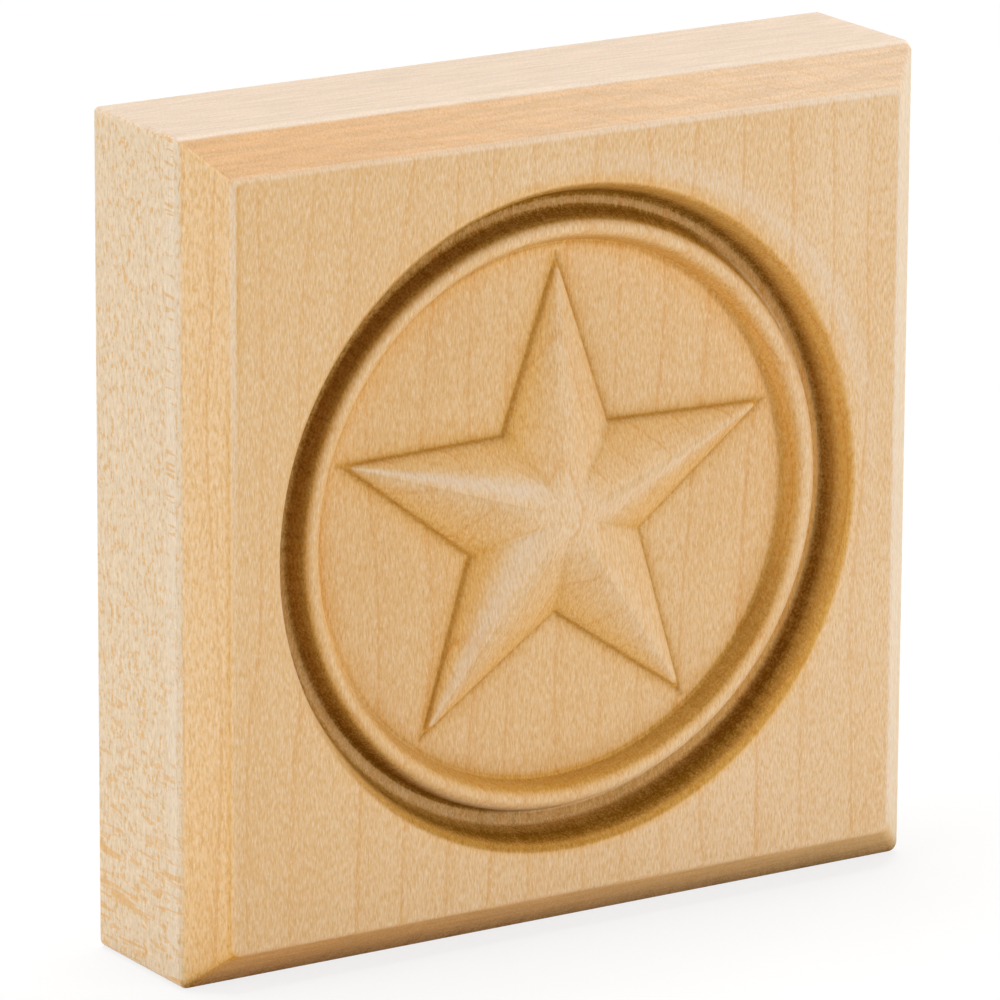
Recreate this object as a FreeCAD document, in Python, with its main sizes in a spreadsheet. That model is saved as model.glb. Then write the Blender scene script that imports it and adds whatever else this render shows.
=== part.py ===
import FreeCAD, Part
import math
import os

import Sketcher

# Corner rosette block: one square block of hard maple with a chamfered front, a turned ring moulding
# sunk into it and a five-armed star in relief on the floor inside the ring.
# Millimetres, +Z up. The origin is the middle of the flat back, which lies in the plane y = 0.
# The carved front faces -Y, so a depth below the front face is measured towards +Y.

# Driving dimensions: the name of each size, its value and what it measures
SIZES = (
    ("block_width", 95.25, "side of the square block"),
    ("block_thickness", 22.225, "back to front face"),
    ("chamfer_size", 4.4, "chamfer round the front, each way"),
    ("arris_radius", 0.8, "sanded rounding of the outer edges"),
    ("rim_radius", 37.4, "ring: outer edge at the front face"),
    ("rim_round", 0.9, "ring: rounding of that edge"),
    ("groove_outer_radius", 35.9, "groove bottom, outer edge"),
    ("groove_inner_radius", 34.6, "groove bottom, inner edge"),
    ("groove_depth", 4.0, "groove bottom below the front face"),
    ("bead_radius", 32.1, "circle on which the two sides of the bead would meet"),
    ("bead_depth", 0.3, "depth of that circle below the front face"),
    ("bead_round", 1.35, "rounding of the top of the bead"),
    ("floor_radius", 30.6, "star floor, outer edge"),
    ("floor_depth", 4.0, "star floor below the front face"),
    ("arm_count", 5, "arms of the star"),
    ("point_radius", 29.1, "star outline: centre to where the sides of an arm would meet"),
    ("valley_radius", 11.4, "star outline: centre to the corner between two arms"),
    ("tip_round", 0.2, "star outline: rounding of a tip"),
    ("wall_height", 0.4, "upright edge of the star above the floor"),
    ("crown_radius", 5.8, "the outline below the apex: centre to where the sides would meet"),
    ("crown_round", 1.0, "the outline below the apex: rounding of a ridge"),
    ("crown_height", 3.4, "the outline below the apex: height above the floor"),
    ("apex_radius", 1.75, "the outline at the apex: centre to where the sides would meet"),
    ("apex_round", 0.3, "the outline at the apex: rounding of a ridge"),
    ("star_height", 3.75, "apex above the floor"),
    ("seat_depth", 0.5, "depth by which the star is rooted in the floor"),
    ("cut_clearance", 1.0, "how far the turned cut starts before the front face"),
)
TOLERANCE = 1e-4


def cell(alias):
    """The expression that reads one size from the sheet."""
    return "sizes." + alias


# Levels along Y: the front face and the star floor
FRONT = "-" + cell("block_thickness")
FLOOR = FRONT + " + " + cell("floor_depth")


def make_sheet(doc):
    sheet = doc.addObject("Spreadsheet::Sheet", "sizes")
    for row, (alias, size, meaning) in enumerate(SIZES, start=1):
        sheet.set(f"A{row}", meaning)
        sheet.set(f"B{row}", str(size))
        sheet.setAlias(f"B{row}", alias)
    doc.recompute()
    return sheet


def origin_feature(body, role):
    return next(f for f in body.Origin.OriginFeatures if f.Role == role)


def new_sketch(body, name, role):
    sketch = body.newObject("Sketcher::SketchObject", name)
    sketch.AttachmentSupport = [(origin_feature(body, role), "")]
    sketch.MapMode = "FlatFace"
    return sketch


def value(sketch, expression):
    return float(sketch.evalExpression(expression))


def bind(sketch, kind, *places, to):
    """Adds a dimension between the places and ties it to an expression."""
    index = sketch.addConstraint(Sketcher.Constraint(kind, *places, value(sketch, to)))
    sketch.setExpression(f"Constraints[{index}]", to)


def draw_lines(sketch, points):
    """A closed run of lines through the points, each line starting at the point of its number."""
    for here, there in zip(points, points[1:] + points[:1]):
        sketch.addGeometry(Part.LineSegment(here, there))
    count = len(points)
    for line in range(count):
        sketch.addConstraint(Sketcher.Constraint("Coincident", line, 2, (line + 1) % count, 1))


def draw_outline(sketch, corners):
    """A closed polygon whose corners are expressions for x and y, and for a rounding where there is one.

    An x of None is on the upright axis.
    """
    points = [
        FreeCAD.Vector(value(sketch, x) if x else 0, value(sketch, y), 0) for x, y, *_ in corners
    ]
    draw_lines(sketch, points)
    places = [(line, 1) for line in range(len(corners))]
    for line, (x, y, *rounding) in enumerate(corners):
        for radius in rounding:
            sketch.fillet(line, 1, value(sketch, radius), True, True)
            arc, corner = sketch.GeometryCount - 2, sketch.GeometryCount - 1
            places[line] = (corner, 1)
            bind(sketch, "Radius", arc, to=radius)
    for place, (x, y, *_) in zip(places, corners):
        if x:
            bind(sketch, "DistanceX", -1, 1, *place, to=x)
        else:
            sketch.addConstraint(Sketcher.Constraint("PointOnObject", *place, -2))
        bind(sketch, "DistanceY", -1, 1, *place, to=y)


def edge_names(shape, wanted):
    return [f"Edge{i}" for i, edge in enumerate(shape.Edges, start=1) if wanted(edge)]


def dress(doc, body, kind, name, base, names, size_property, size):
    """A fillet or chamfer on the named edges of a feature."""
    feature = body.newObject(kind, name)
    feature.Base = (base, names)
    feature.setExpression(size_property, cell(size))
    doc.recompute()
    return feature


# The block: a square blank, chamfered round the front, with every outer edge eased
def make_blank(doc, body, sheet):
    sketch = new_sketch(body, "blank_outline", "XZ_Plane")
    half = cell("block_width") + " / 2"
    minus = "-" + half
    draw_outline(sketch, [(minus, minus), (half, minus), (half, half), (minus, half)])
    pad = body.newObject("PartDesign::Pad", "blank")
    pad.Profile = sketch
    pad.setExpression("Length", cell("block_thickness"))
    doc.recompute()

    front_edges = edge_names(
        pad.Shape,
        lambda edge: all(abs(v.Y + sheet.block_thickness) < TOLERANCE for v in edge.Vertexes),
    )
    chamfer = dress(
        doc, body, "PartDesign::Chamfer", "front_chamfer", pad, front_edges, "Size", "chamfer_size"
    )
    outer_edges = edge_names(chamfer.Shape, lambda edge: True)
    dress(
        doc, body, "PartDesign::Fillet", "eased_arrises", chamfer, outer_edges, "Radius", "arris_radius"
    )


# The ring moulding: one turned cut leaves the groove, the bead and the star floor
def make_ring(doc, body, sheet):
    sketch = new_sketch(body, "ring_profile", "XY_Plane")
    groove = FRONT + " + " + cell("groove_depth")
    start = FRONT + " - " + cell("cut_clearance")
    draw_outline(
        sketch,
        [
            (None, FLOOR),
            (cell("floor_radius"), FLOOR),
            (cell("bead_radius"), FRONT + " + " + cell("bead_depth"), cell("bead_round")),
            (cell("groove_inner_radius"), groove),
            (cell("groove_outer_radius"), groove),
            (cell("rim_radius"), FRONT),
            (cell("rim_radius"), start),
            (None, start),
        ],
    )
    cut = body.newObject("PartDesign::Groove", "ring_cut")
    cut.Profile = sketch
    cut.ReferenceAxis = (sketch, ["V_Axis"])
    cut.Angle = 360
    doc.recompute()

    def is_rim(edge):
        if edge.Degenerated or not isinstance(edge.Curve, Part.Circle):
            return False
        at_front = abs(edge.Curve.Center.y + sheet.block_thickness) < TOLERANCE
        return at_front and abs(edge.Curve.Radius - sheet.rim_radius) < TOLERANCE

    rim = edge_names(cut.Shape, is_rim)
    dress(doc, body, "PartDesign::Fillet", "soft_rim", cut, rim, "Radius", "rim_round")


# The star: one outline at four heights, from its seat in the floor to the apex, lofted into one form
HALF_TURN = f"(180 deg / {cell('arm_count')})"
SIDE_LEAN = (
    f"atan({cell('valley_radius')} * sin{HALF_TURN}"
    f" / ({cell('point_radius')} - {cell('valley_radius')} * cos{HALF_TURN}))"
)


def polar(radius, turn):
    return FreeCAD.Vector(radius * math.cos(turn), radius * math.sin(turn), 0)


def draw_star(sketch, point, rounding):
    """The star outline at one size: straight sides that meet in the valleys and run into rounded tips.

    The sides keep their directions at every size, so the facets between two outlines are flat.
    """
    valley = f"{cell('valley_radius')} * {point} / {cell('point_radius')}"
    middle = f"({point} - {rounding} / sin({SIDE_LEAN}))"
    arms = int(value(sketch, cell("arm_count")))
    half = math.pi / arms
    spread = math.pi / 2 - math.radians(value(sketch, SIDE_LEAN))
    valley_size, middle_size, bend = (value(sketch, size) for size in (valley, middle, rounding))
    for arm in range(arms):
        turn = math.pi / 2 + 2 * half * arm
        circle = Part.Circle(polar(middle_size, turn), FreeCAD.Vector(0, 0, 1), bend)
        arc = Part.ArcOfCircle(circle, turn - spread, turn + spread)
        sketch.addGeometry(Part.LineSegment(polar(valley_size, turn - half), arc.StartPoint))
        sketch.addGeometry(arc)
        sketch.addGeometry(Part.LineSegment(arc.EndPoint, polar(valley_size, turn + half)))
    for arm in range(arms):
        side, arc, far_side = 3 * arm, 3 * arm + 1, 3 * arm + 2
        next_side = 3 * ((arm + 1) % arms)
        sketch.addConstraint(Sketcher.Constraint("Tangent", side, 2, arc, 1))
        sketch.addConstraint(Sketcher.Constraint("Tangent", arc, 2, far_side, 1))
        sketch.addConstraint(Sketcher.Constraint("Coincident", far_side, 2, next_side, 1))
        turn = f"(90 deg + {2 * arm} * {HALF_TURN})"
        valley_turn = f"({turn} + {HALF_TURN})"
        bind(sketch, "Radius", arc, to=rounding)
        bind(sketch, "DistanceX", -1, 1, arc, 3, to=f"{middle} * cos{turn}")
        bind(sketch, "DistanceY", -1, 1, arc, 3, to=f"{middle} * sin{turn}")
        bind(sketch, "DistanceX", -1, 1, far_side, 2, to=f"{valley} * cos{valley_turn}")
        bind(sketch, "DistanceY", -1, 1, far_side, 2, to=f"{valley} * sin{valley_turn}")


def star_section(body, name, height, point, rounding):
    """The star outline at a height above the floor."""
    sketch = new_sketch(body, name, "XZ_Plane")
    sketch.setExpression("AttachmentOffset.Base.z", f"-({FLOOR}) + {height}")
    draw_star(sketch, cell(point), cell(rounding))
    return sketch


def make_star(doc, body):
    seat = star_section(body, "star_seat", "-" + cell("seat_depth"), "point_radius", "tip_round")
    upper_sections = [
        star_section(body, "star_wall_top", cell("wall_height"), "point_radius", "tip_round"),
        star_section(body, "star_crown", cell("crown_height"), "crown_radius", "crown_round"),
        star_section(body, "star_apex", cell("star_height"), "apex_radius", "apex_round"),
    ]
    doc.recompute()
    star = body.newObject("PartDesign::AdditiveLoft", "star")
    star.Profile = seat
    star.Sections = upper_sections
    star.Ruled = True
    doc.recompute()


def check(doc, body):
    failed = [o.Name for o in doc.Objects if {"Invalid", "Error"} & set(o.State)]
    if failed:
        raise RuntimeError("failed features: " + ", ".join(failed))
    shape = body.Shape
    if shape.isNull() or not shape.isValid() or len(shape.Solids) != 1:
        raise RuntimeError(body.Label + " is not one valid solid")


def main():
    doc = FreeCAD.newDocument("corner_rosette_block")
    sheet = make_sheet(doc)
    body = doc.addObject("PartDesign::Body", "rosette_block")
    body.Label = "rosette_block"
    make_blank(doc, body, sheet)
    make_ring(doc, body, sheet)
    make_star(doc, body)
    doc.recompute()
    check(doc, body)
    os.makedirs("parts", exist_ok=True)
    body.Shape.exportStep(f"parts/{body.Label}.step")


main()
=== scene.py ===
"""Looks of the corner rosette block: a finely meshed block of maple, soft studio light and the camera.

All lengths in this script are millimetres in the frame of the part. They are turned into metres where
Blender gets them. The front faces -Y, +Z is up, and a depth is measured from the front face towards +Y.
"""
import math

import bpy
import numpy as np
from mathutils import Matrix, Vector


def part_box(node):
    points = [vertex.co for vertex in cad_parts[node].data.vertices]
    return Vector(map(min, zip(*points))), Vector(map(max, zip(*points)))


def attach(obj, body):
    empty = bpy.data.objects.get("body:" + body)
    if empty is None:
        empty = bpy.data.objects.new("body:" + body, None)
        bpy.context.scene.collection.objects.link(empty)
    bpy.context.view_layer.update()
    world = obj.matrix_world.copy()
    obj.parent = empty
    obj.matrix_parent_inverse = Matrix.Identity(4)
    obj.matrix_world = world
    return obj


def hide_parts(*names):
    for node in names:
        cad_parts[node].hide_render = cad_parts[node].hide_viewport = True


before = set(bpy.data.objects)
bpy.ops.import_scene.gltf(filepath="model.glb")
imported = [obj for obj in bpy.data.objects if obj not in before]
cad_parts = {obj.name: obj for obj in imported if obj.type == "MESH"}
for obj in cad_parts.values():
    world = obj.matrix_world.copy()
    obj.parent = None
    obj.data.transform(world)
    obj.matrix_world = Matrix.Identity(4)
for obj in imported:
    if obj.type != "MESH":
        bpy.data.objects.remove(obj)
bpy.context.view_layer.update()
MM = 0.001

# Sizes of the block, taken from the frame where it has them
low, high = (np.array(corner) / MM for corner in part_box("rosette_block"))
HALF_WIDTH = (high[0] - low[0]) / 2
THICKNESS = high[1] - low[1]
FLOOR_LEVEL = low[2]
CHAMFER = 4.4
FRONT_HALF = HALF_WIDTH - CHAMFER
CHAMFER_BACK = CHAMFER - THICKNESS

# Corners of the square: their rounding, and the angle at the middle that the mesh gives to half of one
CORNER_ROUND = 1.1
SHARP_CORNER_ROUND = 0.55
CORNER_SPREAD = math.radians(5)

# Square edges from the front to the back: half width, depth, and the width cut from both faces of an arris
FRONT_EASE = 0.27
SIDE_EASE = 0.35
BACK_EASE = 0.4
EDGE_CORNERS = (
    (FRONT_HALF - 2.0, 0.0, 0.0),
    (FRONT_HALF, 0.0, FRONT_EASE),
    (HALF_WIDTH, CHAMFER, SIDE_EASE),
    (HALF_WIDTH, THICKNESS, BACK_EASE),
    (HALF_WIDTH - 2.5, THICKNESS, 0.0),
)
EASE_ROUND = 0.12

# Ring moulding: corners of its profile as radius, depth and rounding
RING_CORNERS = (
    (29.7, 4.0, 0.0),
    (30.6, 4.0, 0.3),
    (32.4, -0.7, 1.33),
    (34.35, 4.0, 0.35),
    (35.9, 4.0, 0.5),
    (37.4, 0.0, 0.95),
    (38.9, 0.0, 0.0),
)
FLOOR_DEPTH = 4.0
FLOOR_RADIUS = RING_CORNERS[0][0]
RING_RADIUS = RING_CORNERS[-1][0]
# The ring moulding sits a little lower than the middle of the block
RING_OFFSET = np.array([0, 0, -0.1])

# Star: sharp outline, heights above the floor, softness of ridges and apex, and the levels near the apex
# between which its contours turn from circles into stars
ARMS = 5
POINT_RADIUS = 28.2
VALLEY_RADIUS = 11.4
PEAK_HEIGHT = 4.02
WALL_HEIGHT = 0.58
WALL_SPREAD = 0.032
WALL_CURVE = 1.3
SHOULDER_SHARE = 0.94
SHOULDER_DROP = 0.12
SWELL = 0.06
RIDGE_TIP = 0.5
RIDGE_ROOT = 1.5
RIDGE_GROWTH = 0.8
WIDEST_RIDGE = 1.2
APEX_SHARE = 0.14
ROUND_LEVELS = (0.05, 0.3)

# Density of the mesh: columns on each side of a ridge, rings of each part, and how they crowd together
COLUMNS_PER_SIDE = 40
COLUMN_CROWDING = 1.2
FIRST_LEVEL = 0.012
FACET_RINGS = 38
SHOULDER_RINGS = 5
WALL_SHARES = (0.35, 0.7, 1.0)
FLOOR_RINGS = 15
FLOOR_CROWDING = 1.8
RING_ARC_STEPS = 8
RING_DENSITY = 4
FRONT_RINGS = 14
EDGE_ARC_STEPS = 4
EDGE_DENSITY = 3
BACK_SHARES = (0.8, 0.5, 0.25, 0.08)
TINY = 1e-9


def soft_abs(values, band):
    """The absolute value with its corner replaced by a parabola that is as wide as the band."""
    values = np.abs(values)
    return np.where(values < band, values**2 / (2 * band) + band / 2, values)


def smooth_step(values, start, end):
    share = np.clip((values - start) / (end - start), 0.0, 1.0)
    return share * share * (3 - 2 * share)


def between(values, start, end, fade):
    """One from start to end, fading to nothing on both sides."""
    return smooth_step(values, start - fade, start) * (1 - smooth_step(values, end, end + fade))


def unit(vector):
    return vector / np.linalg.norm(vector)


# Columns of the mesh: one set of directions from the middle, fitted to the ridges and creases of the star
HALF_TURN = math.pi / ARMS
VALLEY_ALONG = VALLEY_RADIUS * math.cos(HALF_TURN)
VALLEY_ACROSS = VALLEY_RADIUS * math.sin(HALF_TURN)
SIDE_SLOPE = (1 - VALLEY_ALONG / POINT_RADIUS) / VALLEY_ACROSS
SIDE_DISTANCE = 1 / math.hypot(1 / POINT_RADIUS, SIDE_SLOPE)


def column_turns():
    """For each column: its direction, its angle from the ridge, and the ways its facet and its arm face."""
    steps = np.arange(-COLUMNS_PER_SIDE, COLUMNS_PER_SIDE) / COLUMNS_PER_SIDE
    share = np.abs(steps) ** COLUMN_CROWDING
    across = share * VALLEY_ACROSS
    along = POINT_RADIUS - share * (POINT_RADIUS - VALLEY_ALONG)
    from_ridge = np.arctan2(across, along)
    ridges = [math.pi / 2 + 2 * HALF_TURN * arm for arm in range(ARMS)]
    turns = [ridge + np.sign(steps) * from_ridge for ridge in ridges]
    facets = [ridge + np.sign(steps) * 2 * HALF_TURN for ridge in ridges]
    arms = np.repeat(ridges, len(steps))
    return np.concatenate(turns), np.tile(from_ridge, ARMS), np.concatenate(facets), arms


TURNS, FROM_RIDGE, FACET_TURNS, ARM_TURNS = column_turns()
COLUMNS = len(TURNS)
# The upper left corner of the square is sharper than the others
CORNER_ROUNDS = np.where((np.cos(TURNS) < 0) & (np.sin(TURNS) > 0), SHARP_CORNER_ROUND, CORNER_ROUND)


# Shapes
def star_radius(level):
    """Radius of one contour of the star in every direction. Level 0 is the apex and 1 the outline."""
    band = RIDGE_TIP + (RIDGE_ROOT - RIDGE_TIP) * max(1 - level, 0) ** RIDGE_GROWTH
    band = min(band, WIDEST_RIDGE * level / SIDE_SLOPE)
    along = np.cos(FROM_RIDGE) / POINT_RADIUS
    across = SIDE_SLOPE * np.sin(FROM_RIDGE)
    straight = level / (along + across)
    bend = SIDE_SLOPE * np.sin(FROM_RIDGE) ** 2 / (2 * band)
    rest = SIDE_SLOPE * band / 2 - level
    root = np.sqrt(np.maximum(along**2 - 4 * bend * rest, 0))
    rounded = np.where(bend > TINY, (root - along) / np.maximum(2 * bend, TINY), -rest / along)
    radius = np.where(straight * np.sin(FROM_RIDGE) >= band, straight, rounded)
    roundness = 1 - smooth_step(level, *ROUND_LEVELS)
    return radius + roundness * (radius.mean() - radius)


def star_height(level):
    """Height above the floor, with a soft apex, slightly swollen facets and a rounded shoulder."""
    height = PEAK_HEIGHT - (PEAK_HEIGHT - WALL_HEIGHT) * soft_abs(level, APEX_SHARE)
    shoulder = np.maximum((level - SHOULDER_SHARE) / (1 - SHOULDER_SHARE), 0)
    return float(height + SWELL * math.sin(math.pi * level) - SHOULDER_DROP * shoulder**2)


def polar_ring(radius, depth):
    radius = np.broadcast_to(radius, COLUMNS)
    depth = np.broadcast_to(depth, COLUMNS)
    return np.stack([radius * np.cos(TURNS), depth - THICKNESS, radius * np.sin(TURNS)], axis=1)


def square_ring(half, depth):
    """A square with rounded corners. Columns within a few degrees of a diagonal lie on the rounding."""
    quarter = np.round(TURNS / (math.pi / 2)) * (math.pi / 2)
    turn = TURNS - quarter
    edge = half - CORNER_ROUNDS
    limit = math.pi / 4 - CORNER_SPREAD
    bend = np.clip((np.abs(turn) - limit) / CORNER_SPREAD, 0, 1) * math.pi / 4
    across = np.where(np.abs(turn) <= limit, edge * np.tan(turn) / math.tan(limit), np.sign(turn) * edge)
    across = across + np.sign(turn) * CORNER_ROUNDS * np.sin(bend)
    along = edge + CORNER_ROUNDS * np.cos(bend)
    x = along * np.cos(quarter) - across * np.sin(quarter)
    z = along * np.sin(quarter) + across * np.cos(quarter)
    return np.stack([x, np.full(COLUMNS, depth - THICKNESS), z], axis=1)


def run_points(start, end, density):
    """Points between two others, without the ends and closer together near them."""
    count = int(density * math.sqrt(np.linalg.norm(end - start)))
    shares = 0.5 - 0.5 * np.cos(np.pi * np.arange(1, count + 1) / (count + 1))
    return [start + (end - start) * share for share in shares]


def eased_corners(corners):
    """A polyline with every inner corner cut off by a small flat. A corner is half width, depth and cut."""
    eased = [(*corners[0][:2], 0.0)]
    for before, corner, after in zip(corners, corners[1:], corners[2:]):
        here = np.array(corner[:2])
        for other in (before, after):
            towards = np.array(other[:2]) - here
            eased.append((*(here + unit(towards) * corner[2]), EASE_ROUND))
    return eased + [(*corners[-1][:2], 0.0)]


def rounded_profile(corners, arc_steps, density):
    """Points along a polyline with rounded corners, each corner given as radius, depth and rounding."""
    points = [np.array(corners[0][:2])]
    for before, corner, after in zip(corners, corners[1:], corners[2:]):
        here = np.array(corner[:2])
        back = unit(np.array(before[:2]) - here)
        ahead = unit(np.array(after[:2]) - here)
        half = math.acos(np.clip(back @ ahead, -1, 1)) / 2
        middle = here + unit(back + ahead) * corner[2] / math.sin(half)
        start = here + back * corner[2] / math.tan(half) - middle
        end = here + ahead * corner[2] / math.tan(half) - middle
        sweep = math.pi - 2 * half
        arc = [
            middle + (math.sin(sweep * (1 - t)) * start + math.sin(sweep * t) * end) / math.sin(sweep)
            for t in np.linspace(0, 1, arc_steps)
        ]
        points += run_points(points[-1], arc[0], density) + arc
    last = np.array(corners[-1][:2])
    return points + run_points(points[-1], last, density) + [last]


# Marks: how the colour changes over the block, mostly painted shade, painted warm shade (tan) and painted
# highlights
ALIGNED = 0.99


def toward(turns, degrees, narrow=1):
    """One for what faces the given direction, falling to nothing at a right angle to it, or sooner."""
    return np.maximum(np.cos(turns - math.radians(degrees)), 0) ** narrow


def faces_to(turns, degrees):
    """True for what faces the given direction to within a few degrees."""
    return toward(turns, degrees) > ALIGNED


def varied(base, *changes):
    """A value that changes with the direction. A change is a direction in degrees and what is added there."""
    total = np.full(COLUMNS, base)
    for degrees, change in changes:
        total = total + change * toward(TURNS, degrees)
    return total


def touches(rows, place):
    """The sum of some touches at one distance from the middle, for every column."""
    total = np.zeros(COLUMNS)
    for degrees, narrow, strength, zone in rows:
        total = total + strength * toward(TURNS, degrees, narrow) * between(place, *zone)
    return total


# Tones of the ring moulding: radius, painted shade with some browning by the cutter, painted warm shade (tan)
RING_TONES = np.array(
    (
        (28.6, 0.04, 0.16),
        (29.7, 0.12, 0.42),
        (30.2, 0.18, 0.75),
        (30.5, 0.00, 0.85),
        (31.2, 0.00, 0.80),
        (31.6, 0.06, 0.40),
        (32.1, 0.00, 0.04),
        (32.9, 0.00, 0.04),
        (33.2, 0.22, 0.55),
        (33.4, 0.70, 0.95),
        (33.9, 0.88, 1.00),
        (34.4, 0.95, 0.80),
        (35.4, 0.74, 0.50),
        (35.9, 0.85, 0.90),
        (36.3, 0.80, 0.95),
        (36.9, 0.12, 0.90),
        (37.4, 0.20, 0.75),
        (37.8, 0.00, 0.05),
    )
)
# Near the bottom, at this direction in degrees, the tones outside the bead lie further out by this length
SHIFT_TURN = 280
TONE_SHIFT = 0.4
SHIFT_RADII = (34.8, 35.8)

# Tones of the flat of the groove: direction in degrees and painted shade, then its painted tan and how that
# varies
FLAT_TONES = np.array(
    (
        (0, 0.12),
        (45, 0.38),
        (90, 0.52),
        (135, 0.72),
        (165, 0.66),
        (195, 0.48),
        (225, 0.42),
        (255, 0.56),
        (285, 0.56),
        (315, 0.34),
    )
)
FLAT_TAN = (0.35, (140, 0.25), (350, 0.45))

# Zones of the ring moulding and of the front beside it: the radii they lie between and how far they fade
BEAD_FOOT = (30.1, 30.6, 0.3)
BEAD_WALL = (30.4, 31.5, 0.4)
BEAD_TOP = (31.5, 32.1, 0.4)
BEAD_CREST = (32.8, 33.2, 0.25)
BEAD_SHOULDER = (33.2, 34.5, 0.25)
GROOVE_CREASE = (34.05, 34.5, 0.2)
GROOVE_FLAT = (34.8, 35.3, 0.3)
WALL_FOOT = (35.6, 35.95, 0.2)
WALL = (35.6, 36.3, 0.3)
WALL_TOP = (35.9, 36.6, 0.3)
RIM = (36.4, 37.5, 0.4)
RIM_TOP = (37.2, 37.8, 0.4)
FRINGE = (37.6, 38.2, 0.5)
BESIDE_RIM = (39.6, 40.6, 1.5)

# Touches that follow the light round the ring, as painted shade, tan and highlights: direction in degrees,
# narrowness, strength and zone
CREASE_SHADE = ((250, 8, 0.45, GROOVE_CREASE), (40, 8, 0.25, GROOVE_CREASE))
WALL_SHADE = (
    (115, 2, 0.34, BEAD_WALL),
    (308, 6, 0.20, BEAD_WALL),
    (35, 2, 0.12, BEAD_FOOT),
    (105, 1, 0.15, WALL),
    (15, 1, -0.08, WALL),
    (312, 4, 0.25, WALL_TOP),
    (280, 1, -0.15, WALL_FOOT),
)
WALL_TAN = ((300, 1, 0.20, BEAD_WALL), (280, 1, 0.30, BEAD_TOP), (200, 2, 0.35, BEAD_CREST))
RIM_SHADE = ((280, 1, 0.25, RIM), (250, 4, 0.15, RIM), (105, 3, 0.50, RIM))
RIM_TAN = ((280, 1, 0.30, RIM_TOP), (318, 2, 0.20, RIM))
FRINGE_TAN = ((75, 2, 0.30, FRINGE), (312, 4, 0.15, FRINGE))
LIGHTER_SHOULDER = ((165, 1, 0.20, BEAD_SHOULDER),)
LIGHTER_WALL = ((172, 1, 0.40, BEAD_WALL),)
LIGHTER_RIM = ((188, 6, 0.90, RIM),)
LIGHTER_RIGHT = ((0, 1, 0.50, RIM),)
# Painted highlights on the rim and a painted pale glare on the front beside it
RIM_GLEAM = ((195, 8, 0.40, RIM),)
FRONT_GLARE = ((45, 4, 0.55, BESIDE_RIM),)

# Outer shoulder of the bead: painted shade, dark round this direction in degrees, which turns by some more
# between
# # two radii, and loses most of its painted tones on the other side, where light falls
DARK_TURN = 132
DARK_TWIST = 20
TWIST_RADII = (33.5, 34.2)
DARK_FADE = (-0.45, 0.1)
SHOULDER_LOSS = 0.9

# Inner wall of the bead: its lower half gets painted shade, less round the bottom
LOWER_TILT = math.radians(5)
LOWER_FADE = (0.2, 0.6)
LOWER_SHADE = 0.28
BOTTOM_TURN = 270
BOTTOM_NARROWNESS = 6
BOTTOM_LOSS = 0.6


def bead_shoulder_keep(radius):
    """What the bead keeps of its painted tones. Its outer shoulder is left pale, as lit, below and on the
    right.
    """
    dark_turn = math.radians(DARK_TURN) + math.radians(DARK_TWIST) * smooth_step(radius, *TWIST_RADII)
    dark = smooth_step(np.cos(TURNS - dark_turn), *DARK_FADE)
    return 1 - SHOULDER_LOSS * between(radius, *BEAD_SHOULDER) * (1 - dark)


def bead_wall_shade(radius):
    """Painted shade on the lower half of the inner wall of the bead."""
    lower_half = smooth_step(-np.sin(TURNS - LOWER_TILT), *LOWER_FADE)
    lower_half = lower_half * (1 - BOTTOM_LOSS * toward(TURNS, BOTTOM_TURN, BOTTOM_NARROWNESS))
    return LOWER_SHADE * lower_half * between(radius, *BEAD_WALL)


def ring_marks(radius):
    """Marks of one ring of the moulding: painted shade and highlights that follow the direction of the light.
    """
    place = radius - TONE_SHIFT * toward(TURNS, SHIFT_TURN) * smooth_step(radius, *SHIFT_RADII)
    burnish = np.interp(place, RING_TONES[:, 0], RING_TONES[:, 1])
    tan = np.interp(place, RING_TONES[:, 0], RING_TONES[:, 2])
    # The outer shoulder of the bead and the crease beside it
    keep = bead_shoulder_keep(radius)
    burnish = burnish * keep * (1 - touches(LIGHTER_SHOULDER, radius)) + touches(CREASE_SHADE, radius)
    tan = tan * keep
    # The flat of the groove
    flat = between(place, *GROOVE_FLAT)
    flat_shade = np.interp(np.degrees(TURNS), FLAT_TONES[:, 0], FLAT_TONES[:, 1], period=360)
    burnish = burnish + flat * (flat_shade - burnish)
    tan = tan + flat * (varied(*FLAT_TAN) - tan)
    # The walls of the bead and of the groove
    burnish = burnish + bead_wall_shade(radius) + touches(WALL_SHADE, place)
    tan = tan * (1 - touches(LIGHTER_WALL, place)) + touches(WALL_TAN, place)
    # The rim, with less painted shade at the left and partly at the right, and a painted highlight
    lighter_share = touches(LIGHTER_RIM, place)
    burnish = burnish * (1 - np.maximum(lighter_share, touches(LIGHTER_RIGHT, place))) + touches(RIM_SHADE, place)
    tan = tan * (1 - lighter_share) + touches(RIM_TAN, place) + touches(FRINGE_TAN, radius)
    gleam = touches(RIM_GLEAM, place)
    return {"burnish": np.clip(burnish, 0, 1), "tan": np.clip(tan, 0, 1), "arris": gleam}


# Star facets, painted warm shade: direction they face in degrees, tan at the outline, how it grows from the
# ridge
FACET_SHADES = ((18, 0.28, 1.0), (90, 0.66, 0.6), (162, 0.82, 0.95), (234, 0.80, 1.0), (306, 0.72, 1.2))
# Painted highlights on the star: direction of arm and of facet in degrees, share across it, width, strength
GLEAMS = ((162, 90, 0.22, 0.18, 0.8), (18, 306, 0.25, 0.15, 0.45), (234, 162, 0.3, 0.26, 0.62))
APEX_GLEAM = 0.2
APEX_RADII = (2.0, 6.0)
NARROWEST_ARM = 0.02
# Painted tan and shade in the star's creases, painted shade along its outline and on the facets that face
# down
CREASE_START = 0.75 * HALF_TURN
STAR_CREASE_TAN = 0.12
STAR_CREASE_SHADE = 0.08
OUTLINE_SHADE = 0.15
OUTLINE_NARROWNESS = 14
DOWNWARD_SHADE = 0.13


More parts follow.
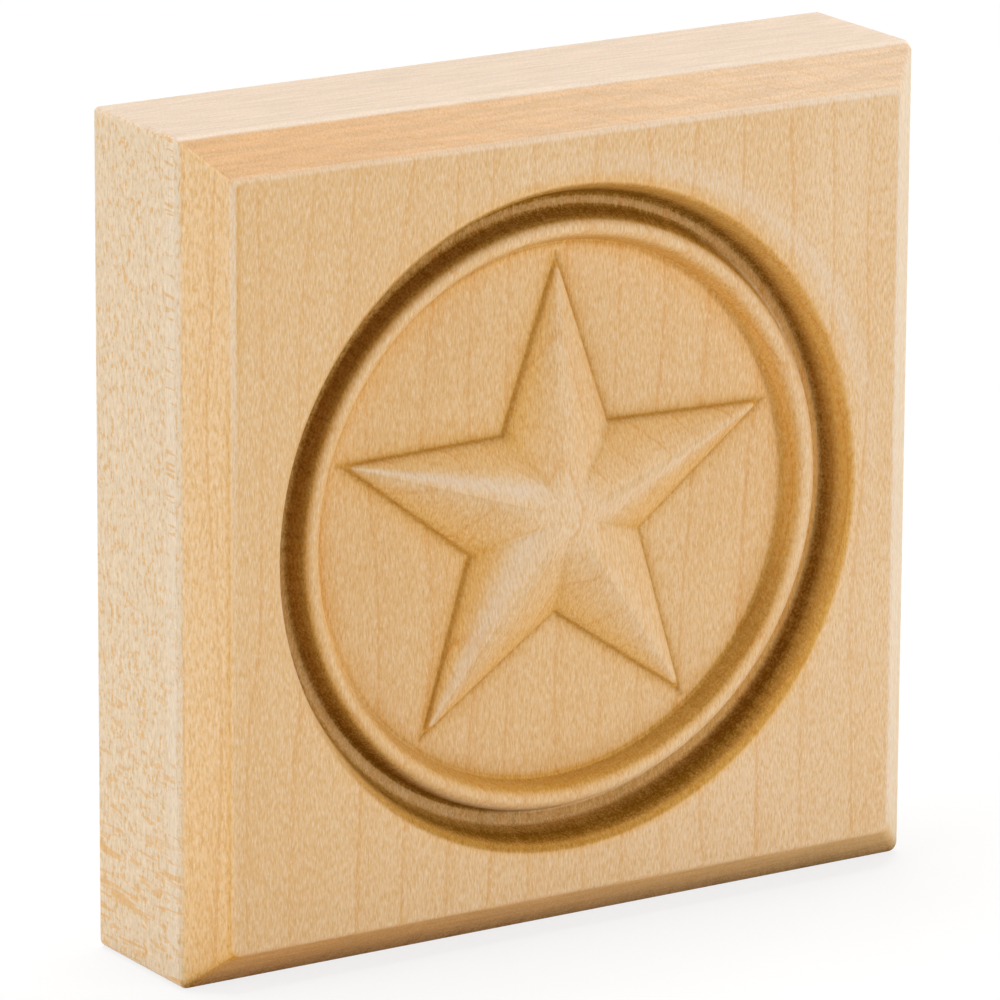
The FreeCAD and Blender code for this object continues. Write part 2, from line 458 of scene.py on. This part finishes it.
def star_marks(points):
    """Painted marks of the star: facets with warm shade towards the outline, pale ridges and highlights."""
    radius = np.hypot(points[:, 0], points[:, 2])
    along = radius * np.cos(FROM_RIDGE)
    across = radius * np.sin(FROM_RIDGE)
    share = np.clip(across * SIDE_SLOPE / np.maximum(1 - along / POINT_RADIUS, NARROWEST_ARM), 0, 1)
    outward = smooth_step(radius, *APEX_RADII)
    tan = np.zeros(COLUMNS)
    for facet, strength, growth in FACET_SHADES:
        tan += faces_to(FACET_TURNS, facet) * strength * share**growth
    crease = smooth_step(FROM_RIDGE, CREASE_START, HALF_TURN)
    tan = (tan + STAR_CREASE_TAN * crease) * outward
    gleam = APEX_GLEAM * (1 - outward)
    for arm, facet, middle, width, strength in GLEAMS:
        here = faces_to(ARM_TURNS, arm) & faces_to(FACET_TURNS, facet)
        gleam = gleam + here * strength * np.exp(-(((share - middle) / width) ** 2)) * outward
    # Painted shade on the facets that face down, where less light falls
    facing_down = np.maximum(-np.sin(FACET_TURNS), 0)
    burnish = OUTLINE_SHADE * share**OUTLINE_NARROWNESS + STAR_CREASE_SHADE * crease * outward
    burnish = burnish + DOWNWARD_SHADE * facing_down * (1 - gleam) * outward
    return {"burnish": burnish, "tan": np.clip(tan, 0, 1) * (1 - gleam), "arris": gleam}


# Wall and foot of the star: painted shade on both, and what they lose where a facet faces this way in degrees
PALE_FOOT_TURN = 135
STAR_WALL_SHADE = 0.35
STAR_WALL_LOSS = 0.15
FOOT_SHADE = 0.5
FOOT_LOSS = 0.3
# Floor: painted shade, painted tan and how that varies, the tan beside the foot, and how far the tones there
# reach
FLOOR_SHADE = 0.04
FLOOR_TAN = (0.18, (55, -0.07), (135, 0.06), (270, -0.06))
FOOT_TAN = 0.6
TAN_REACH = 1.0
BROWN_REACH = 0.4
# Painted tan of the floor beside the ring moulding: how it varies with the direction
BESIDE_RING = (1.0, (310, 0.4))


def floor_marks(points):
    """Painted shade and tan on the floor at the foot of the star, fading within about a millimetre."""
    radius = np.hypot(points[:, 0], points[:, 2])
    level = radius * (np.cos(FROM_RIDGE) / POINT_RADIUS + SIDE_SLOPE * np.sin(FROM_RIDGE))
    away = np.maximum(level - 1 - WALL_SPREAD, 0) * SIDE_DISTANCE
    beside_ring = np.interp(radius, RING_TONES[:2, 0], RING_TONES[:2, 2]) * varied(*BESIDE_RING)
    tan = varied(*FLOOR_TAN) + FOOT_TAN * np.exp(-away / TAN_REACH)
    foot_shading = FOOT_SHADE - FOOT_LOSS * toward(FACET_TURNS, PALE_FOOT_TURN)
    burnish = FLOOR_SHADE + foot_shading * np.exp(-away / BROWN_REACH)
    return {"burnish": burnish, "tan": np.maximum(tan, beside_ring)}


# Flat front: a faint painted highlight in this direction in degrees, and the part of the way outwards that
# has it
FRONT_GLEAM = 0.1
FRONT_GLEAM_TURN = 320
FRONT_GLEAM_NARROWNESS = 6
FRONT_GLEAM_SHARES = (0.1, 0.8, 0.1)


def front_marks(points, share):
    """Marks of the flat front: a painted pale glare beside the ring and a faint painted highlight."""
    radius = np.hypot(points[:, 0], points[:, 2])
    gleam = FRONT_GLEAM * toward(TURNS, FRONT_GLEAM_TURN, FRONT_GLEAM_NARROWNESS)
    return {"arris": (touches(FRONT_GLARE, radius) + gleam) * between(share, *FRONT_GLEAM_SHARES)}


# Sides of the square: one on each of them, fading near the diagonals
SIDE_FADE = (0.6, 0.75)
UPPER = smooth_step(np.sin(TURNS), *SIDE_FADE)
LOWER = smooth_step(-np.sin(TURNS), *SIDE_FADE)
LEFT = smooth_step(-np.cos(TURNS), *SIDE_FADE)
# Arrises are pale partly from wear and partly from a painted highlight, less where less light falls
# Pale arrises: how far the pale fades, and the share of the front arris that is less pale below and low at
# left
PALE_FADE = 0.25
LESS_PALE = 0.85
LESS_PALE_LEFT = (-32.0, 10.0)
# The front arris is less pale at the left and at the top, and there least at the left end
LEFT_PALE_LOSS = 0.25
TOP_PALE_LOSS = 0.5
TOP_PALE_GAIN = 0.35
TOP_PALE_RUN = (-45.0, 45.0)
# The other arrises are pale this far, and more at the top, where the highlight is painted
OTHER_PALE = 0.3
OTHER_TOP_GAIN = 0.25
# Bottom chamfer: its depths, its painted tan, and its painted shade, which grows towards the back
BOTTOM_DEPTHS = (0.3, CHAMFER, 0.3)
BOTTOM_TAN = 0.68
BOTTOM_SHADE = 0.12
BOTTOM_SHADE_GAIN = 0.75
# Left chamfer: its depths, the stretch below the middle over which it turns tan, and how far
LEFT_DEPTHS = (0.4, CHAMFER, 0.3)
LEFT_RUN = (5.0, 45.0)
LEFT_TAN = 0.2
# The tan line at the left runs on the front above these heights and on the chamfer below them
LINE_HEIGHTS = (15.0, 28.0)
FRONT_LINE = (FRONT_HALF - 0.9, FRONT_HALF - 0.5, 0.3)
CHAMFER_LINE = (0.35, 0.6, 0.2)
FRONT_DEPTH = 0.01
LINE_TAN = 0.45
LINE_BROWN = 0.1


def edge_wear_and_highlight(points, half, depth):
    """How pale one ring of the edges is: partly wear, partly a painted highlight."""
    wear_and_highlight = []
    for corner, level, ease in EDGE_CORNERS[1:-1]:
        distance = math.hypot(half - corner, depth - level)
        wear_and_highlight.append(1 - smooth_step(distance, ease, ease + PALE_FADE))
    less_pale_share = np.maximum(LESS_PALE * LOWER, LESS_PALE * LEFT * smooth_step(-points[:, 2], *LESS_PALE_LEFT))
    top_loss = TOP_PALE_LOSS - TOP_PALE_GAIN * smooth_step(points[:, 0], *TOP_PALE_RUN)
    front_pale = wear_and_highlight[0] * (1 - less_pale_share) * (1 - LEFT_PALE_LOSS * LEFT - UPPER * top_loss)
    other_pale = max(wear_and_highlight[1:]) * (OTHER_PALE + OTHER_TOP_GAIN * UPPER)
    return np.maximum(front_pale, other_pale)


def edge_marks(points, half, depth):
    """Marks of a ring of the edges: pale arrises, painted shade on the bottom chamfer, a tan line at the
    left.
    """
    z = points[:, 2]
    high_up = smooth_step(z, *LINE_HEIGHTS)
    line = LEFT * high_up * between(half, *FRONT_LINE) * (depth < FRONT_DEPTH)
    line = line + LEFT * (1 - high_up) * between(depth, *CHAMFER_LINE) * (depth < CHAMFER)
    low_left = LEFT * smooth_step(-z, *LEFT_RUN) * between(depth, *LEFT_DEPTHS)
    bottom = LOWER * between(depth, *BOTTOM_DEPTHS)
    # Painted shade on the bottom chamfer, deeper towards the back
    bottom_shading = BOTTOM_SHADE + BOTTOM_SHADE_GAIN * (depth / CHAMFER) ** 2
    return {
        "burnish": bottom * bottom_shading + LINE_BROWN * line,
        "tan": BOTTOM_TAN * bottom + LINE_TAN * line + LEFT_TAN * low_left,
        "arris": edge_wear_and_highlight(points, half, depth),
    }


# Mesh
class Rings:
    """Rings of points from the apex outwards, each with the marks that the material reads."""

    def __init__(self):
        self.points = []
        self.marks = {"burnish": [], "tan": [], "arris": []}

    def add(self, points, **marks):
        self.points.append(points)
        for name, values in self.marks.items():
            values.append(np.broadcast_to(marks.get(name, 0.0), COLUMNS))


def add_star(rings):
    """The star, from its apex to the foot of its wall."""
    facet_levels = np.linspace(FIRST_LEVEL, SHOULDER_SHARE, FACET_RINGS)
    shoulder_levels = np.linspace(SHOULDER_SHARE, 1, SHOULDER_RINGS)[1:]
    for level in np.concatenate([facet_levels, shoulder_levels]):
        points = polar_ring(star_radius(level), FLOOR_DEPTH - star_height(level))
        rings.add(points, **star_marks(points))
    # Painted shade and painted tan on the wall of the star, less shade where a facet faces the light
    star_wall_shading = STAR_WALL_SHADE - STAR_WALL_LOSS * toward(FACET_TURNS, PALE_FOOT_TURN)
    for share in WALL_SHARES:
        height = star_height(1.0) * (1 - share) ** WALL_CURVE
        points = polar_ring(star_radius(1 + WALL_SPREAD * share), FLOOR_DEPTH - height)
        rings.add(points, burnish=star_wall_shading, tan=1.0)


def add_floor(rings):
    """The floor, between the foot of the star and the ring moulding."""
    foot = rings.points[-1]
    rim = polar_ring(FLOOR_RADIUS, FLOOR_DEPTH) + RING_OFFSET
    for share in np.linspace(0, 1, FLOOR_RINGS)[1:-1] ** FLOOR_CROWDING:
        points = foot + (rim - foot) * share
        rings.add(points, **floor_marks(points))


def add_moulding(rings):
    """The ring moulding, from the floor to the front."""
    for radius, depth in rounded_profile(RING_CORNERS, RING_ARC_STEPS, RING_DENSITY):
        rings.add(polar_ring(radius, depth) + RING_OFFSET, **ring_marks(radius))


def add_front_and_edges(rings):
    """The flat front between the round rim and the square, then the edges and the outer part of the back."""
    profile = rounded_profile(eased_corners(EDGE_CORNERS), EDGE_ARC_STEPS, EDGE_DENSITY)
    square = square_ring(*profile[0])
    rim = polar_ring(RING_RADIUS, 0.0) + RING_OFFSET
    for share in np.linspace(0, 1, FRONT_RINGS)[1:-1]:
        points = rim + (square - rim) * share
        rings.add(points, **front_marks(points, share))
    for half, depth in profile:
        points = square_ring(half, depth)
        rings.add(points, **edge_marks(points, half, depth))


def add_back(rings):
    """The back, closing towards its middle."""
    last = rings.points[-1]
    for share in BACK_SHARES:
        rings.add(last * [share, 1, share])


def build_block():
    rings = Rings()
    for add_part in (add_star, add_floor, add_moulding, add_front_and_edges, add_back):
        add_part(rings)
    apex = [0, FLOOR_DEPTH - star_height(0.0) - THICKNESS, 0]
    back_middle = [0, 0, 0]
    points = np.concatenate([*rings.points, [apex, back_middle]]) * MM
    # Fans of triangles close the mesh round its two hubs, and quads join each ring to the next
    first_hub = len(rings.points) * COLUMNS
    last_hub = first_hub + 1
    last_ring = first_hub - COLUMNS
    here = np.arange(COLUMNS)
    after = (here + 1) % COLUMNS
    faces = [(first_hub, a, b) for a, b in zip(after, here)]
    for inner in range(0, last_ring, COLUMNS):
        outer = inner + COLUMNS
        faces += list(zip(inner + after, outer + after, outer + here, inner + here))
    faces += [(last_hub, a, b) for a, b in zip(last_ring + here, last_ring + after)]
    mesh = bpy.data.meshes.new("carved_block")
    mesh.from_pydata(points.tolist(), [], [tuple(int(i) for i in face) for face in faces])
    mesh.validate()
    mesh.shade_smooth()
    for name, values in rings.marks.items():
        layer = mesh.attributes.new(name, "FLOAT", "POINT")
        hubs = [values[0][0], values[-1][0]]
        layer.data.foreach_set("value", np.concatenate([*values, hubs]).astype(np.float32))
    block = bpy.data.objects.new("carved_block", mesh)
    bpy.context.collection.objects.link(block)
    return block


# Materials
class Graph:
    """Short forms for building a node tree. An input is a number, a colour, a vector or a socket."""

    def __init__(self, owner):
        owner.use_nodes = True
        self.nodes = owner.node_tree.nodes
        self.links = owner.node_tree.links

    def put(self, node, key, value):
        if isinstance(value, bpy.types.NodeSocket):
            self.links.new(value, node.inputs[key])
        else:
            node.inputs[key].default_value = value

    def add(self, kind, inputs, **settings):
        node = self.nodes.new(kind)
        for key, value in settings.items():
            setattr(node, key, value)
        for key, value in inputs.items():
            self.put(node, key, value)
        return node

    def math(self, operation, *values):
        return self.add("ShaderNodeMath", dict(enumerate(values)), operation=operation).outputs[0]

    def times(self, *values):
        product = values[0]
        for value in values[1:]:
            product = self.math("MULTIPLY", product, value)
        return product

    def vector(self, operation, first, second):
        node = self.add("ShaderNodeVectorMath", {0: first, 1: second}, operation=operation)
        return node.outputs["Value" if operation == "DOT_PRODUCT" else "Vector"]

    def noise(self, place, stretch, detail=2.0, rough=0.5):
        stretched = self.vector("MULTIPLY", place, stretch)
        inputs = {"Vector": stretched, "Scale": 1.0, "Detail": detail, "Roughness": rough}
        return self.add("ShaderNodeTexNoise", inputs).outputs["Fac"]

    def ramp(self, value, start, end, low=0.0, high=1.0):
        inputs = {"Value": value, "From Min": start, "From Max": end, "To Min": low, "To Max": high}
        return self.add("ShaderNodeMapRange", inputs, interpolation_type="SMOOTHSTEP").outputs["Result"]

    def mix(self, share, first, second, blend="MIX"):
        """A mix of two colours. Their sockets are inputs 6 and 7 of the node, and output 2 is the mix."""
        inputs = {0: share, 6: first, 7: second}
        return self.add("ShaderNodeMix", inputs, data_type="RGBA", blend_type=blend).outputs[2]

    def mix_shaders(self, share, first, second):
        return self.add("ShaderNodeMixShader", {0: share, 1: first, 2: second}).outputs[0]

    def mark(self, name):
        return self.add("ShaderNodeAttribute", {}, attribute_name=name).outputs["Fac"]


# Colours of the wood, as linear light
FRONT_TONE = (0.76, 0.50, 0.25, 1)
# Painted light: the front turns paler towards the right
RIGHT_LIT_TONE = (0.79, 0.56, 0.335, 1)
CLOUD_TONE = (0.74, 0.47, 0.225, 1)
CHAMFER_TONE = (0.82, 0.55, 0.29, 1)
# Painted light: the side chamfers turn paler towards the right
RIGHT_LIT_CHAMFER_TONE = (0.64, 0.545, 0.41, 1)
END_CHAMFER_TONE = (0.68, 0.415, 0.215, 1)
# Painted light: the end chamfers turn paler towards the right
RIGHT_LIT_END_CHAMFER_TONE = (0.71, 0.515, 0.345, 1)
SIDE_TONE = (0.71, 0.56, 0.385, 1)
STRIP_TONE = (0.73, 0.59, 0.43, 1)
END_TONE = (0.675, 0.54, 0.42, 1)
LINE_TONE = (0.70, 0.36, 0.11, 1)
FLECK_TONE = (0.70, 0.40, 0.14, 1)
PALE_TONE = (0.82, 0.63, 0.42, 1)
DULL_TINT = (0.90, 0.84, 0.74, 1)
CLEAR_TINT = (1.05, 1.10, 1.20, 1)
# Painted warm shade: the deeper orange of shaded maple
WARM_SHADE_TINT = (1.02, 0.80, 0.31, 1)
# Painted shade, with some browning by the cutter in the grooves
SHADE_AND_BURN_TINT = (0.31, 0.235, 0.05, 1)
# Pale arrises, partly wear and partly painted highlight, and the painted highlights of star, rim and front
WEAR_AND_HIGHLIGHT_TONE = (0.80, 0.69, 0.57, 1)

# Growth rings: their distance, their lean against the front, how far they wander, how late wood shows
RING_SPACING = 1.75
RING_LEAN = math.radians(17)
RING_WANDER = 4.0
LATE_WOOD = 0.25

# Noise of the figure: how fast it changes per millimetre along X, Y and Z
WANDER_NOISE = (0.045, 0.045, 0.014)
PATCH_NOISE = (0.09, 0.09, 0.02)
RAY_NOISE = (5.2, 1.9, 1.2)
FIBRE_NOISE = (7.0, 5.0, 1.1)
STREAK_NOISE = (0.12, 1.6, 1.6)
LADDER_NOISE = (0.2, 0.25, 2.2)
BAND_NOISE = (0.2, 0.1, 1.3)
BLOT_NOISE = (0.2, 0.5, 1.5)
CLOUD_NOISE = (0.06, 0.06, 0.025)
SPECK_NOISE = (4.5, 3.0, 3.0)
# Chatter of the cutter changes only with the direction from the middle, this fast on a circle of radius 1
CHATTER_NOISE = (38.0, 0.0, 38.0)

# Bump of the fibres
BUMP_STRENGTH = 0.25
BUMP_HEIGHT = 0.06


def growth_lines(graph, place):
    """Lines of the growth rings: leaning sheets that wander, cut by the front, the floor and the facets."""
    wander = graph.noise(place, WANDER_NOISE, 2.0, 0.45)
    depth = graph.vector("DOT_PRODUCT", place, (-math.sin(RING_LEAN), -math.cos(RING_LEAN), 0.0))
    depth = graph.math("MULTIPLY_ADD", wander, RING_WANDER, depth)
    cycle = graph.math("FRACT", graph.times(depth, 1 / RING_SPACING))
    line = graph.times(graph.ramp(cycle, 0.86, 0.94), graph.ramp(cycle, 0.99, 0.95))
    late = graph.times(graph.ramp(cycle, 0.4, 0.92), graph.ramp(cycle, 0.99, 0.93))
    line = graph.math("MULTIPLY_ADD", late, LATE_WOOD, line)
    patchy = graph.noise(place, PATCH_NOISE, 1.0)
    return graph.times(line, graph.ramp(patchy, 0.36, 0.6, 0.65, 1.0))


def face_shares(graph, x, y, z):
    """Where the sides, the ends at top and bottom, the side chamfers and the end chamfers are."""
    beside = graph.math("ABSOLUTE", x)
    above = graph.math("ABSOLUTE", z)
    endward = graph.ramp(graph.math("SUBTRACT", above, beside), -0.12, 0.12)
    side = graph.ramp(beside, HALF_WIDTH - 0.5, HALF_WIDTH - 0.15)
    end = graph.ramp(above, HALF_WIDTH - 0.5, HALF_WIDTH - 0.15)
    outside = graph.ramp(graph.math("MAXIMUM", beside, above), FRONT_HALF, FRONT_HALF + 0.2)
    in_front = graph.ramp(y, CHAMFER_BACK + 0.8, CHAMFER_BACK + 0.3)
    chamfers = graph.times(outside, in_front)
    end_chamfer = graph.times(chamfers, endward)
    side_chamfer = graph.math("SUBTRACT", chamfers, end_chamfer)
    return side, end, side_chamfer, end_chamfer


def long_rays(graph, place, y, z, side):
    """Rays on the sides: a pale strip near the front edge with a ladder, then bands and blots low down."""
    strip = graph.times(graph.ramp(y, -17.5, -17.1), graph.ramp(y, -15.0, -15.7), side)
    ladder = graph.ramp(graph.noise(place, LADDER_NOISE, 1.0), 0.57, 0.64)
    ladder = graph.times(ladder, strip, graph.ramp(z, -12.0, 2.0, 0.0, 0.7))
    band = graph.ramp(graph.noise(place, BAND_NOISE, 1.0), 0.56, 0.66)
    band = graph.times(band, side, graph.ramp(z, -28.0, -36.0), 0.75)
    blot = graph.ramp(graph.noise(place, BLOT_NOISE, 1.0), 0.57, 0.66)
    blot = graph.times(blot, side, graph.ramp(z, 5.0, -28.0, 0.0, 0.6))
    return strip, ladder, band, blot


def maple():
    material = bpy.data.materials.new("maple")
    graph = Graph(material)
    shader = graph.nodes["Principled BSDF"]
    place = graph.nodes.new("ShaderNodeTexCoord").outputs["Object"]
    place = graph.vector("MULTIPLY", place, (1 / MM, 1 / MM, 1 / MM))
    x, y, z = graph.add("ShaderNodeSeparateXYZ", {0: place}).outputs
    line = growth_lines(graph, place)
    side, end, side_chamfer, end_chamfer = face_shares(graph, x, y, z)
    ends = graph.math("MAXIMUM", end, end_chamfer)
    strip, ladder, band, blot = long_rays(graph, place, y, z, side)

    # Fine figure: thin rays across the growth rings, fibres, streaks of end grain, clouds and specks
    ray = graph.noise(place, RAY_NOISE, 2.0, 0.55)
    fibre = graph.noise(place, FIBRE_NOISE, 2.0, 0.6)
    streak = graph.noise(place, STREAK_NOISE, 2.0, 0.55)
    cloud = graph.noise(place, CLOUD_NOISE, 2.0)
    speck = graph.noise(place, SPECK_NOISE, 2.0, 0.6)
    # Chatter: what the turning cutter left across the grooves
    flat = graph.vector("MULTIPLY", place, (1.0, 0.0, 1.0))
    chatter = graph.noise(graph.vector("NORMALIZE", flat, flat), CHATTER_NOISE, 2.0, 0.6)

    # How far each layer of colour shows: growth lines, rays, pale arrises and painted highlights, painted tan
    # and shade
    edge_grain = graph.math("MAXIMUM", side, graph.math("MAXIMUM", end, graph.times(end_chamfer, 0.6)))
    line = graph.times(line, graph.ramp(edge_grain, 0.0, 1.0, 0.5, 0.12))
    front_ray = graph.times(graph.ramp(ray, 0.53, 0.63), graph.ramp(ends, 0.0, 1.0, 0.56, 0.15))
    front_ray = graph.times(front_ray, graph.ramp(side, 1.0, 0.0))
    side_ray = graph.times(graph.ramp(ray, 0.56, 0.65, 0.0, 0.8), graph.math("SUBTRACT", side, strip))
    pale_ray = graph.times(graph.ramp(ray, 0.47, 0.37), graph.ramp(ends, 0.0, 1.0, 0.48, 0.12))
    # Painted highlights with some wear, painted tan and painted shade, as the mesh marks them
    wear_and_highlight = graph.times(graph.mark("arris"), graph.ramp(ray, 0.3, 0.7, 0.75, 0.35))
    tan = graph.times(graph.mark("tan"), graph.ramp(speck, 0.3, 0.7, 0.8, 1.15))
    burnish = graph.times(graph.mark("burnish"), graph.ramp(chatter, 0.3, 0.7, 0.88, 1.1))
    burnish = graph.times(burnish, graph.ramp(speck, 0.3, 0.7, 0.78, 1.2))

    # The layers, from the plain wood of each face to the painted shade
    # Painted light: colours turn paler towards the right
    rightward = graph.ramp(x, -HALF_WIDTH, HALF_WIDTH)
    layers = (
        (graph.ramp(cloud, 0.35, 0.7, 0.0, 0.6), CLOUD_TONE, "MIX"),
        (graph.times(side_chamfer, 0.8), graph.mix(rightward, CHAMFER_TONE, RIGHT_LIT_CHAMFER_TONE), "MIX"),
        (end_chamfer, graph.mix(rightward, END_CHAMFER_TONE, RIGHT_LIT_END_CHAMFER_TONE), "MIX"),
        (side, SIDE_TONE, "MIX"),
        (strip, STRIP_TONE, "MIX"),
        (end, END_TONE, "MIX"),
        (line, LINE_TONE, "MIX"),
        (front_ray, FLECK_TONE, "MIX"),
        (side_ray, FLECK_TONE, "MIX"),
        (pale_ray, PALE_TONE, "MIX"),
        (ladder, FLECK_TONE, "MIX"),
        (band, FLECK_TONE, "MIX"),
        (blot, FLECK_TONE, "MIX"),
        (graph.ramp(fibre, 0.5, 0.3), DULL_TINT, "MULTIPLY"),
        (graph.ramp(fibre, 0.5, 0.7), CLEAR_TINT, "MULTIPLY"),
        (ends, graph.ramp(streak, 0.3, 0.7, 0.93, 1.05), "MULTIPLY"),
        (wear_and_highlight, WEAR_AND_HIGHLIGHT_TONE, "MIX"),
        (tan, WARM_SHADE_TINT, "MULTIPLY"),
        (burnish, SHADE_AND_BURN_TINT, "MULTIPLY"),
    )
    tone = graph.mix(rightward, FRONT_TONE, RIGHT_LIT_TONE)
    for share, colour, blend in layers:
        tone = graph.mix(share, tone, colour, blend)

    # Surface: where shade and tan are painted the wood is less glossy, and the fibres stand up a little
    dull = graph.math("MAXIMUM", burnish, tan)
    bump = {"Height": fibre, "Strength": BUMP_STRENGTH, "Distance": BUMP_HEIGHT * MM}
    graph.put(shader, "Base Color", tone)
    graph.put(shader, "Roughness", graph.ramp(fibre, 0.3, 0.7, 0.46, 0.58))
    graph.put(shader, "Specular IOR Level", graph.ramp(dull, 0.0, 1.0, 0.2, 0.04))
    graph.put(shader, "Normal", graph.add("ShaderNodeBump", bump).outputs[0])
    return material


# Studio: the floor as it is seen and as it lights the object, and the light of the backdrop
WHITE = (1, 1, 1, 1)
SEEN_FLOOR = (0.9, 0.9, 0.9, 1)
DIM_FLOOR = (0.75, 0.75, 0.75, 1)
SHADOW_SHARE = 0.2
BACKDROP_LIGHT = 0.03


def shows_backdrop(graph):
    """One for the rays that show the backdrop: those of the camera, of gloss and of glass."""
    path = graph.nodes.new("ShaderNodeLightPath").outputs
    shown = path["Is Camera Ray"]
    for name in ("Is Glossy Ray", "Is Transmission Ray"):
        shown = graph.math("MAXIMUM", shown, path[name])
    return shown


def studio_floor():
    """A white floor with a faint shadow, which throws some light back at the object."""
    material = bpy.data.materials.new("studio_floor")
    graph = Graph(material)
    graph.nodes.remove(graph.nodes["Principled BSDF"])
    white = graph.add("ShaderNodeEmission", {"Strength": 1.0}).outputs[0]
    lit = graph.add("ShaderNodeBsdfDiffuse", {"Color": SEEN_FLOOR}).outputs[0]
    dim = graph.add("ShaderNodeBsdfDiffuse", {"Color": DIM_FLOOR}).outputs[0]
    view = graph.mix_shaders(SHADOW_SHARE, white, lit)
    seen = graph.mix_shaders(shows_backdrop(graph), dim, view)
    graph.put(graph.nodes["Material Output"], "Surface", seen)
    return material


def studio_world():
    """A white backdrop that hardly lights the object."""
    world = bpy.data.worlds.new("studio")
    graph = Graph(world)
    dim = graph.nodes["Background"]
    graph.put(dim, "Color", WHITE)
    graph.put(dim, "Strength", BACKDROP_LIGHT)
    white = graph.add("ShaderNodeBackground", {"Color": WHITE, "Strength": 1.0}).outputs[0]
    seen = graph.mix_shaders(shows_backdrop(graph), dim.outputs[0], white)
    graph.put(graph.nodes["World Output"], "Surface", seen)
    return world


# Block
block = build_block()
block.data.materials.append(maple())
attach(block, "root")
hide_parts("rosette_block")

# Floor
FLOOR_HALF = 3000
FLOOR_CORNERS = ((-1, -1), (1, -1), (1, 1), (-1, 1))
floor_points = [(x * FLOOR_HALF * MM, y * FLOOR_HALF * MM, FLOOR_LEVEL * MM) for x, y in FLOOR_CORNERS]
floor_mesh = bpy.data.meshes.new("floor")
floor_mesh.from_pydata(floor_points, [], [(0, 1, 2, 3)])
floor = bpy.data.objects.new("floor", floor_mesh)
bpy.context.collection.objects.link(floor)
floor_mesh.materials.append(studio_floor())


def direction(azimuth, elevation):
    """A unit vector. The azimuth is counted from the front to the right, and both angles are in degrees."""
    azimuth = math.radians(azimuth)
    elevation = math.radians(elevation)
    level = math.cos(elevation)
    return Vector((math.sin(azimuth) * level, -math.cos(azimuth) * level, math.sin(elevation)))


def standing(target, away, distance):
    """The placing of a camera or a lamp that stands in one direction from a target and looks at it."""
    return Matrix.Translation(target + away * distance) @ away.to_track_quat("Z", "Y").to_matrix().to_4x4()


# Camera: viewing direction, aim and lens fitted to the edges of the block
AZIMUTH = -32.48
ELEVATION = 15.478
ROLL = math.radians(-0.322)
AIM = Vector((2.893, -2.814, -2.962)) * MM
DISTANCE = 939.4 * MM
SENSOR_WIDTH = 36
LENS = 301.69
camera_data = bpy.data.cameras.new("camera")
camera_data.sensor_width = SENSOR_WIDTH
camera_data.lens = LENS
camera = bpy.data.objects.new("camera", camera_data)
upright = standing(AIM, direction(AZIMUTH, ELEVATION), DISTANCE)
camera.matrix_world = upright @ Matrix.Rotation(-ROLL, 4, "Z")
bpy.context.collection.objects.link(camera)
bpy.context.scene.camera = camera

# Light: soft square lamps, with azimuth and elevation in degrees and power in watts
LAMP_AIM = Vector((0, 0, 0))
LAMP_DISTANCE = 1600 * MM
LAMP_SIZE = 900 * MM
LAMPS = (
    ("key", 30, 8, 18.8),
    ("left", -90, 12, 17.0),
    ("right", 110, 15, 11.0),
    ("top", 180, 82, 24),
)
for name, azimuth, elevation, power in LAMPS:
    lamp = bpy.data.lights.new(name, "AREA")
    lamp.shape = "SQUARE"
    lamp.size = LAMP_SIZE
    lamp.energy = power
    holder = bpy.data.objects.new(name, lamp)
    holder.matrix_world = standing(LAMP_AIM, direction(azimuth, elevation), LAMP_DISTANCE)
    bpy.context.collection.objects.link(holder)

bpy.context.scene.world = studio_world()
bpy.context.scene.view_settings.view_transform = "Standard"
